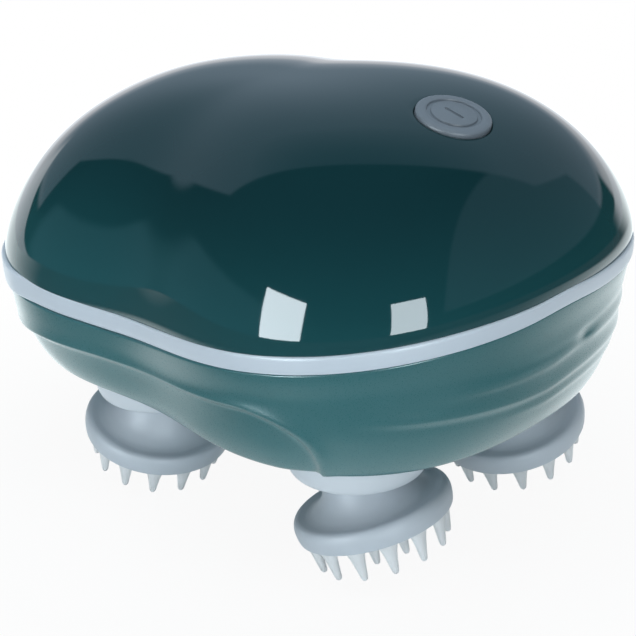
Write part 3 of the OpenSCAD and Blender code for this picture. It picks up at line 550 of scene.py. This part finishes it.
def side_of(line, x, y):
    """Signed distance of points from a line: positive on its left as it is drawn."""
    line = np.array(line)
    best = np.full(x.shape, 1e9)
    sign = np.ones(x.shape)
    for (ax, ay), (bx, by) in zip(line, line[1:]):
        dx, dy = bx - ax, by - ay
        t = np.clip(((x - ax) * dx + (y - ay) * dy) / (dx * dx + dy * dy), 0, 1)
        gap = np.hypot(x - ax - t * dx, y - ay - t * dy)
        closer = gap < best
        best = np.where(closer, gap, best)
        sign = np.where(closer, np.sign(dx * (y - ay) - dy * (x - ax)), sign)
    return best * sign


def crease_depth(height):
    """How far the shell stands out at each turn, at a height over its underside."""
    # Both sides take the near side's line
    near = -np.abs(np.degrees(shell_turn))
    line = flowing([(run_at(a), h) for a, h in CREASE], 5)
    q = side_of(line, run_at(near), height)
    flare = CREASE_LIP * np.exp(-((np.clip(q, 0, None) / 1.7) ** 1.3))
    down_step = ease(-q / CREASE_WIDTH)
    # The step fades further down, and is shallower round the tail
    step = -CREASE_STEP * down_step * (1 - 0.7 * ease((-q - 2) / 9))
    step = step * (1 - 0.55 * ease((-near - 128) / 14))
    return np.where(q > 0, flare, CREASE_LIP * (1 - down_step) + step)


RIBS = [
    # How far it stands out, and its height over the underside by angle
    (0.24, [(-10, 20.9), (-2, 20.7), (5, 21.0), (12, 21.6), (30, 21.6)]),
    (0.42, [(-30, 17.9), (-17, 17.3), (-9, 16.9), (-2, 17.0), (4, 18.0), (12, 18.0), (30, 17.6)]),
    (0.46, [(-40, 14.3), (-24, 13.3), (-9, 12.0), (-2, 11.7), (5, 12.6), (12, 12.9), (30, 12.2)]),
    (0.28, [(-14, 8.8), (-2, 8.3), (5, 9.2), (12, 9.4), (30, 8.8)]),
]


def rib_depth(height):
    """How far the grip ribs stand out at each turn, at a height over the underside."""
    degrees = np.degrees(shell_turn)
    total = np.zeros(shell_turn.shape)
    for proud, line in RIBS:
        angles, heights = zip(*line)
        q = height - np.interp(degrees, angles, heights)
        fade = ease((degrees - angles[0]) / 16) * ease((angles[-1] + 12 - degrees) / 14)
        # A rib is steeper below than above
        total = total + proud * fade * np.exp(-(q / np.where(q > 0, 1.9, 1.2)) ** 2)
    # The dimple where the upper ridges are pinched together
    return total - 0.6 * np.exp(-((degrees - 7.5) / 2.6) ** 2 - ((height - 18.9) / 1.5) ** 2)


def shell_rings():
    """The shell's rings: down its outer face to the underside, and back up inside its wall."""
    top = seam_z(plan_r(shell_turn) * np.cos(shell_turn) + PLAN_X) - SHELL_Z
    foot = -by_angle(TRIM_FOOT, shell_turn)
    tail, corners = tail_share(shell_turn), corner_share(shell_turn)
    nose = by_angle([(0, -0.3), (5, -0.25), (12, 0.1), (22, 0.55), (180, 0.55)], shell_turn)

    def level(r, height):
        """A ring of radius r at a height over the underside."""
        return stack(r * np.cos(shell_turn) + PLAN_X, r * np.sin(shell_turn), SHELL_Z + height)

    def ring(down, tuck):
        """A ring down under the widest line and tucked in from the shell's own face."""
        height = top - down
        line = level(plan_r(shell_turn) * shell_s(down / top) - tuck, height)
        # The side wall is fuller under the trim band, and less so towards the underside
        fuller = (1.1 + 0.4 * corners + 0.25 * tail) * (1 - ease((down - 5) / (8 + 16 * tail)))
        fuller = fuller + nose * (1 - ease(height / 9))
        return line + shell_out * fuller[:, None]

    rings = [ring(foot + under, tuck) for under, tuck in (
        (0.08, 1.0), (0.08, 0.4), (0.14, 0.14), (0.3, 0.0))]
    plain_rows = len(rings)
    start = foot + 0.5
    for w in np.linspace(0, 1, SHELL_ROWS):
        rings.append(ring(start + (0.962 * top - start) * w, 0.0))
    for s, height in ((0.886, 0.62), (0.8795, 0.38), (0.871, 0.18), (0.860, 0.05), (0.848, 0.0),
                      (0.835, 0.0)):
        rings.append(level(plan_r(shell_turn) * s + nose, height))
    for k in range(plain_rows, len(rings)):
        height = rings[k][:, 2] - SHELL_Z
        fade = ease((top - foot - 0.5 - height) / 2.5)
        depth = (crease_depth(height) + rib_depth(height)) * fade
        rings[k] = rings[k] + shell_out * depth[:, None]
    for s, inset, height in ((0.835, 0, 1.3), (0.86, 1.2, 1.6)):
        rings.append(level(plan_r(shell_turn) * s - inset, height))
    for w in np.linspace(1, 0, SHELL_INNER_ROWS):
        rings.append(ring(start + (0.93 * top - start) * w, SHELL_WALL))
    rings.append(ring(foot + 0.08, SHELL_WALL))
    return rings


def shell_drawn_in(corners):
    """Sets the corners of the shell's own outer face a little way inside the new skin."""
    x, y, z = corners.T
    a = np.arctan2(y, x - PLAN_X)
    rim = seam_z(plan_r(a) * np.cos(a) + PLAN_X)
    u = np.clip((rim - z) / (rim - SHELL_Z), 0, 1)
    s = np.hypot(x - PLAN_X, y) / plan_r(a)
    outer = (s > np.minimum(shell_s(u), 0.88) - 0.012) & (s > 0.83)
    # The pad round the socket stays where it is
    on_pad = (np.hypot(x - JACK_X, z - JACK_Z) < 4.7) & (y > 0)
    outer &= ~on_pad
    pull = np.where(outer, SHELL_DRAW, 0)
    moved = corners.copy()
    moved[:, 0] -= pull * np.cos(a)
    moved[:, 1] -= pull * np.sin(a)
    # Its lowest corners keep clear of the new skin's flat underside
    low = outer & (z < SHELL_Z + 0.6)
    moved[low, 2] = np.maximum(moved[low, 2], SHELL_Z + 0.05)
    return moved


shell = skin("grip_shell", shell_rings())
cut(shell, core_of("lower_shell", shell_drawn_in), "UNION")

PAD_R, PAD_UP, BORE_FLARE = 4.75, 0.73, 0.5
at_socket = (Matrix.Translation(Vector((JACK_X, JACK_FACE, JACK_Z)) * MM)
             @ Matrix.Rotation(math.radians(-90), 4, "X"))
socket_pad = turned("socket_pad", [(0, -4.9), (PAD_R, -4.9)] + flowing([
    (PAD_R, 0.2), (4.68, 0.5), (4.45, 0.68), (4.1, PAD_UP)], 3) + [(0, PAD_UP)], 64)
socket_bore = turned("socket_bore", [
    (0, -9), (JACK_R, -9), (JACK_R, 0.45), (JACK_R + BORE_FLARE, 1.0), (JACK_R + BORE_FLARE, 3),
    (0, 3)], 48)
for tool, operation in ((socket_pad, "UNION"), (socket_bore, "DIFFERENCE")):
    tool.data.transform(at_socket)
    cut(shell, tool, operation)
soften(shell)
finished(shell, "housing", "shell_satin", "lower_shell")

# ---- power button, with its engraved ring and bar ----

# The cap's foot clears the seal under it when it is pressed
CAP_FOOT, CAP_TOP, GROOVE_FLOOR = -3.97, 0.66, 0.2
# The bar: its length, width and height, how round its ends are, and where its middle lies
BAR_SIZE, BAR_ROUND, BAR_UP = (4.6, 0.8, 1.1), 0.36, 0.75

button = turned("button_cap", [(0, CAP_FOOT), (BUTTON_R - 0.05, CAP_FOOT), (BUTTON_R, -3.9)]
                + flowing([(BUTTON_R, -0.2), (7.46, 0.06), (7.34, 0.3), (7.12, 0.48), (6.8, 0.6),
                           (6.3, CAP_TOP)], 3)
                + [(5.5, CAP_TOP), (5.42, 0.6), (5.32, 0.26), (5.22, GROOVE_FLOOR),
                   (4.72, GROOVE_FLOOR), (4.62, 0.26), (4.52, 0.6), (4.44, CAP_TOP),
                   (0, CAP_TOP)], 128)
clear()
bpy.ops.mesh.primitive_cube_add(size=MM)
bar = bpy.context.object
bpy.ops.object.mode_set(mode="EDIT")
bpy.ops.transform.resize(value=BAR_SIZE)
bpy.ops.mesh.select_all(action="DESELECT")
bpy.ops.object.mode_set(mode="OBJECT")
# Its four upright edges are rounded
for edge in bar.data.edges:
    ends = [bar.data.vertices[k].co for k in edge.vertices]
    edge.select = abs(ends[0].z - ends[1].z) > 0.3 * MM
bpy.ops.object.mode_set(mode="EDIT")
bpy.ops.mesh.bevel(offset=BAR_ROUND * MM, segments=5)
bpy.ops.object.mode_set(mode="OBJECT")
bar.data.transform(Matrix.Translation((0, 0, BAR_UP * MM)))
cut(button, bar, "DIFFERENCE")
button.data.transform(at_button())
soften(button, 40)
finished(button, "power_button", "button_plastic", "power_button")

# ---- kneading heads: fixed collar, cup, and silicone pad with its fingers ----

# Each is turned from its outline of radius and height, from the point where the head's axis
# crosses its crank's: the collar outside and in, the cup down its outside and up its hollow
collar = turned("collar", flowing([
    (15.0, 5.6), (14.9, 3.9), (14.6, 2.3), (14.2, 0.9), (13.7, -0.1), (13.0, -0.66),
    (12.2, -0.88), (10.9, -0.92), (10.55, -0.7), (10.7, -0.3), (11.6, 0.35), (12.4, 1.5),
    (12.7, 3.2), (12.9, 5.6)], 4) + [(15.0, 5.6)], 128)

cup = turned("cup", [(2.05, 0.8), (7.3, 0.8)] + flowing([
    (7.46, 0.66), (7.52, 0.2), (7.66, -1.0), (8.18, -3.0), (9.05, -5.1), (10.4, -7.0),
    (12.0, -8.2), (13.3, -8.56), (14.3, -8.5), (15.1, -8.42), (15.75, -8.6), (16.2, -9.2),
    (16.44, -10.2), (16.4, -11.3), (16.25, -12.2), (16.1, -12.7), (15.85, -12.88)], 4) + [
    (15.5, -12.8), (15.5, -11.4), (3.8, -11.4), (3.8, -10.0), (2.05, -10.0), (2.05, 0.8)], 128)

pad = turned("pad", [(0, -11.8), (3.8, -11.8), (3.8, -11.4), (15.45, -11.4), (15.45, -12.5)]
             + flowing([(15.4, -12.7), (15.25, -12.85), (15.0, -12.9)], 2) + [(0, -12.9)], 112)

# A finger stands on its round tip, and its root flares out into the pad
finger = turned("finger", [(0, 0)] + flowing([
    (0.3, 0.03), (0.5, 0.16), (0.64, 0.4), (0.74, 0.8), (0.86, 1.5), (1.02, 2.5), (1.2, 3.5),
    (1.42, 4.6), (1.66, 5.5), (1.9, 6.2), (2.14, 6.7), (2.4, 7.1), (2.5, 7.3)], 1)
    + [(0, 7.3)], 24)
for corner in finger.data.vertices:
    # The root is broader along the ring than across it, so that it stays on the pad
    corner.co.x *= 1 - 0.36 * min(1, corner.co.z / (7.1 * MM))

# The inner fingers are a little shorter and stand between the outer ones
for count, radius, lean, lift, shift in ((OUTER_FINGERS, TIP_RING_R, FINGER_LEAN, 0, 0),
                                         (INNER_FINGERS, INNER_RING_R, 0, 0.3, 0.5)):
    for k in range(count):
        place = (Matrix.Rotation(2 * math.pi * (k + shift) / count, 4, "Z")
                 @ Matrix.Translation(Vector((radius, 0, lift - TIP_REACH)) * MM)
                 @ Matrix.Rotation(math.radians(lean), 4, "Y"))
        cut(pad, another(finger, "finger_copy", place), "UNION")
bpy.data.objects.remove(finger)

for name, (x, y, _) in HEADS.items():
    ring = another(collar, "neck_collar_" + name,
                   Matrix.Translation(Vector((x, y, WOBBLE_Z)) * MM))
    bowl = another(cup, "kneading_cup_" + name, at_head(name))
    soft = another(pad, "silicone_pad_" + name, at_head(name))
    for piece in (ring, bowl, soft):
        soften(piece, 40)
    finished(ring, "housing", "collar_plastic", "collar_" + name)
    finished(bowl, "head_" + name, "cup_plastic", "head_cup_" + name)
    finished(soft, "head_" + name, "finger_silicone", "finger_pad_" + name)
for piece in (collar, cup, pad):
    bpy.data.objects.remove(piece)

# ---- floor, light and camera ----

scene = bpy.context.scene
CAMERA_AZIMUTH, CAMERA_RISE, CAMERA_ROLL = -44.8, 24.38, 3.37
# The frame's width, the focal length and the lens's centre, in pixels; the distance in metres
FRAME_PX, FOCAL_PX, CENTRE_PX, CAMERA_AWAY = 636, 1781.5, (298.21, 346.42), 0.39305
SENSOR_MM = 36
# Level directions in the main view, as the floor and the studio are laid out for it
away = math.radians(CAMERA_AZIMUTH + 180)
BACKWARD = (math.cos(away), math.sin(away), 0)
RIGHTWARD = (math.sin(away), -math.cos(away), 0)


def direction(azimuth, rise):
    """The direction from the object at an azimuth and a rise in degrees."""
    a, e = math.radians(azimuth), math.radians(rise)
    return Vector((math.cos(e) * math.cos(a), math.cos(e) * math.sin(a), math.sin(e)))


def laid_out(tree, way):
    """How far a direction points behind the object, and to its right."""
    return (add(tree, "ShaderNodeVectorMath", {"operation": "DOT_PRODUCT"}, [
        way, axis]).outputs["Value"] for axis in (BACKWARD, RIGHTWARD))


clear()
bpy.ops.mesh.primitive_circle_add(vertices=128, radius=0.5, fill_type="NGON")
floor = bpy.context.object
floor.name = "pale_floor"
white = bpy.data.materials.new("matt_white_sheet")
white.use_nodes = True
tree = white.node_tree
tree.nodes.clear()
rays = add(tree, "ShaderNodeLightPath")
place = add(tree, "ShaderNodeTexCoord").outputs["Object"]
far = add(tree, "ShaderNodeVectorMath", {"operation": "LENGTH"}, [place]).outputs["Value"]
way = add(tree, "ShaderNodeVectorMath", {"operation": "NORMALIZE"}, [place])
behind, sideways = laid_out(tree, way)

# The camera sees the sheet as white, but for a faint shadow close to the object
paper = add(tree, "ShaderNodeBsdfDiffuse", sockets={"Color": linear("#F4F5F6")})
seen = add(tree, "ShaderNodeEmission", sockets={"Color": linear("#FFFFFF"), "Strength": 1.0})
whiteness = add(tree, "ShaderNodeMapRange", None, [far, 0.08, 0.15, 0.93, 1])
for_camera = add(tree, "ShaderNodeMath", TIMES, [rays.outputs["Is Camera Ray"], whiteness])
shown = add(tree, "ShaderNodeMixShader", None, [for_camera, paper, seen])

# The object mirrors it as a bright patch round its foot, which is brightest behind and dim in
# front and whose reach differs from side to side; the distances are in metres
strength = add(tree, "ShaderNodeMapRange", EASED, [behind, -0.7, 0.2, 0.35, 1.6])
at_left = add(tree, "ShaderNodeMapRange", None, [sideways, -1, -0.2, 0.8, 1])
strength = add(tree, "ShaderNodeMath", TIMES, [strength, at_left])
reach = far
for reach_range in ([behind, -1, 1, 1.25, 0.49], [sideways, 0, 0.6, 1, 0.65],
                    [sideways, -1, -0.3, 1.3, 1]):
    share = add(tree, "ShaderNodeMapRange", None, reach_range)
    reach = add(tree, "ShaderNodeMath", TIMES, [reach, share])
patch = add(tree, "ShaderNodeMapRange", EASED, [reach, 0.155, 0.105])
close = add(tree, "ShaderNodeMath", TIMES, [strength, patch])
# Right under the object it is bright on all sides, less so at the left
patch = add(tree, "ShaderNodeMapRange", EASED, [far, 0.1, 0.075])
at_left = add(tree, "ShaderNodeMapRange", None, [sideways, -0.75, 0, 0.7, 0.95])
under = add(tree, "ShaderNodeMath", TIMES, [patch, at_left])
# Behind it is bright as far as it goes, a little more to the left than to the right
turned_left = add(tree, "ShaderNodeMath", TIMES, [sideways, 0.15])
turned_left = add(tree, "ShaderNodeMath", MINUS, [behind, turned_left])
rear = add(tree, "ShaderNodeMapRange", EASED, [turned_left, 0.3, 0.65, 0, 1.9])
glow = 0.15
for part in (close, under, rear):
    glow = add(tree, "ShaderNodeMath", LARGER, [part, glow])
mirrored = add(tree, "ShaderNodeEmission", sockets={
    "Color": linear("#F0F8FA"), "Strength": glow})
both = add(tree, "ShaderNodeMixShader", None, [rays.outputs["Is Glossy Ray"], shown, mirrored])
add(tree, "ShaderNodeOutputMaterial", sockets={"Surface": both})
floor.data.materials.append(white)

# The studio that the object mirrors: a grey sweep behind that turns white low down, dim
# panels at the right and low at the left, bright paper under the sheet's far edge, and
# nothing lit in front or overhead
world = bpy.data.worlds.new("studio")
scene.world = world
world.use_nodes = True
world.cycles.sampling_method = "NONE"
tree = world.node_tree
tree.nodes.clear()
rays = add(tree, "ShaderNodeLightPath")
look = add(tree, "ShaderNodeTexCoord").outputs["Generated"]
height = add(tree, "ShaderNodeSeparateXYZ", sockets=[look]).outputs["Z"]
behind, sideways = laid_out(tree, look)
sweep = add(tree, "ShaderNodeValToRGB", sockets=[height])
stops = [(0.0, (1.1, 1.12, 1.18)), (0.05, (1.0, 1.03, 1.1)), (0.09, (0.62, 0.69, 0.79)),
         (0.16, (0.36, 0.45, 0.55)), (0.70, (0.35, 0.46, 0.58)), (0.88, (0.19, 0.28, 0.36)),
         (1.0, (0.12, 0.18, 0.24))]
ramp = sweep.color_ramp
while len(ramp.elements) < len(stops):
    ramp.elements.new(0.5)
for element, (where, colour) in zip(ramp.elements, stops):
    element.position = where
    element.color = (*colour, 1)
# The sweep reaches further forward high up than low down
forward = add(tree, "ShaderNodeMapRange", None, [height, 0.39, 0.56, 0.2, 0])
swept = add(tree, "ShaderNodeMath", MINUS, [behind, forward])
# Height over a plane that falls away towards the front
falling = add(tree, "ShaderNodeMath", TIMES, [behind, 0.65])
sunk = add(tree, "ShaderNodeMath", MINUS, [height, falling])

# A panel fills the directions inside all of its edges. Each edge runs softly from its first
# number, where the panel ends, to its second, where it is whole.
panels = {
    "dim_right": [(sideways, 0.57, 0.60)],
    "sweep": [(swept, 0.30, 0.34)],
    "dark_strip": [(height, 0.13, 0.09), (behind, 0.76, 0.70)],
    "low_left": [(sideways, -0.89, -0.94), (height, 0.25, 0.19)],
    "paper_behind": [(height, -0.02, -0.05), (behind, 0.55, 0.75)],
    "paper_left": [(sunk, -0.375, -0.4), (sideways, -0.45, -0.58)],
}
inside = {}
for name, edges in panels.items():
    for edge in edges:
        share = add(tree, "ShaderNodeMapRange", EASED, edge)
        inside[name] = add(tree, "ShaderNodeMath", TIMES, [inside.get(name, 1.0), share])
paper = add(tree, "ShaderNodeMath", LARGER, [inside["paper_behind"], inside["paper_left"]])
# From the dark room forward: each panel covers those before it
shade = (0.012, 0.014, 0.016, 1)
for where, colour in ((inside["dim_right"], (0.17, 0.25, 0.31, 1)),
                      (inside["sweep"], sweep),
                      (inside["dark_strip"], (0.03, 0.08, 0.08, 1)),
                      (inside["low_left"], (0.13, 0.30, 0.36, 1)),
                      (paper, (1.35, 1.40, 1.48, 1))):
    shade = add(tree, "ShaderNodeMix", COLOURS, {
        0: where, MIX_A: shade, MIX_B: colour}).outputs[MIX_OUT]

# Only reflections see the studio. The camera sees plain white, and all else a faint even light
WHITE, EVEN_LIGHT = (1, 1, 1, 1), 0.22
studio = add(tree, "ShaderNodeBackground", sockets={"Color": shade, "Strength": 1.0})
even = add(tree, "ShaderNodeBackground", sockets={"Color": WHITE, "Strength": EVEN_LIGHT})
clean = add(tree, "ShaderNodeBackground", sockets={"Color": WHITE, "Strength": 1.0})
lit = add(tree, "ShaderNodeMixShader", None, [rays.outputs["Is Glossy Ray"], even, studio])
open_rays = add(tree, "ShaderNodeMath", LARGER, [
    rays.outputs["Is Camera Ray"], rays.outputs["Is Transmission Ray"]])
whole = add(tree, "ShaderNodeMixShader", None, [open_rays, lit, clean])
add(tree, "ShaderNodeOutputWorld", sockets={"Surface": whole})

LAMP_TINT, LAMPS_LOOK_AT = (0.84, 0.94, 1), Vector((0, 0, 0.055))


def softbox(name, azimuth, rise, wide, tall, distance, glow, mirrored):
    """A rectangular lamp, in metres, that only lights the object or is only mirrored in it.

    glow is how bright its face is against white.
    """
    data = bpy.data.lights.new(name, "AREA")
    data.shape, data.size, data.size_y = "RECTANGLE", wide, tall
    data.energy = glow * math.pi * wide * tall
    data.color = LAMP_TINT
    lamp = bpy.data.objects.new(name, data)
    toward = direction(azimuth, rise)
    lamp.location = LAMPS_LOOK_AT + toward * distance
    lamp.rotation_euler = toward.to_track_quat("Z", "Y").to_euler()
    lamp.visible_camera = False
    lamp.visible_diffuse, lamp.visible_glossy = not mirrored, mirrored
    scene.collection.objects.link(lamp)


# Two windows that the dome mirrors, and the two lamps that light the object
softbox("strip_left", -98.5, 7, 0.62, 0.74, 1.5, 17, True)
softbox("strip_right", -27.5, 3, 0.5, 1.05, 1.5, 13, True)
softbox("key", -62, 8, 2.4, 0.6, 1.5, 2.5, False)
softbox("overhead", -45, 85, 1.2, 1.2, 1.3, 2.4, False)

centre = Vector((PLAN_X, 0, SHELL_Z)) * MM
toward = direction(CAMERA_AZIMUTH, CAMERA_RISE)
right = (-toward).cross(Vector((0, 0, 1))).normalized()
up = right.cross(-toward)
c, s = math.cos(math.radians(CAMERA_ROLL)), math.sin(math.radians(CAMERA_ROLL))
axis_x, axis_y = c * right - s * up, s * right + c * up
lens = bpy.data.cameras.new("studio_camera")
lens.sensor_width = SENSOR_MM
lens.lens = FOCAL_PX / FRAME_PX * SENSOR_MM
lens.shift_x = 0.5 - CENTRE_PX[0] / FRAME_PX
lens.shift_y = CENTRE_PX[1] / FRAME_PX - 0.5
lens.clip_start = 0.02
camera = bpy.data.objects.new("studio_camera", lens)
camera.matrix_world = Matrix.Translation(centre + toward * CAMERA_AWAY) @ Matrix(
    (axis_x, axis_y, toward)).transposed().to_4x4()
scene.collection.objects.link(camera)
scene.camera = camera
scene.view_settings.view_transform = "Standard"
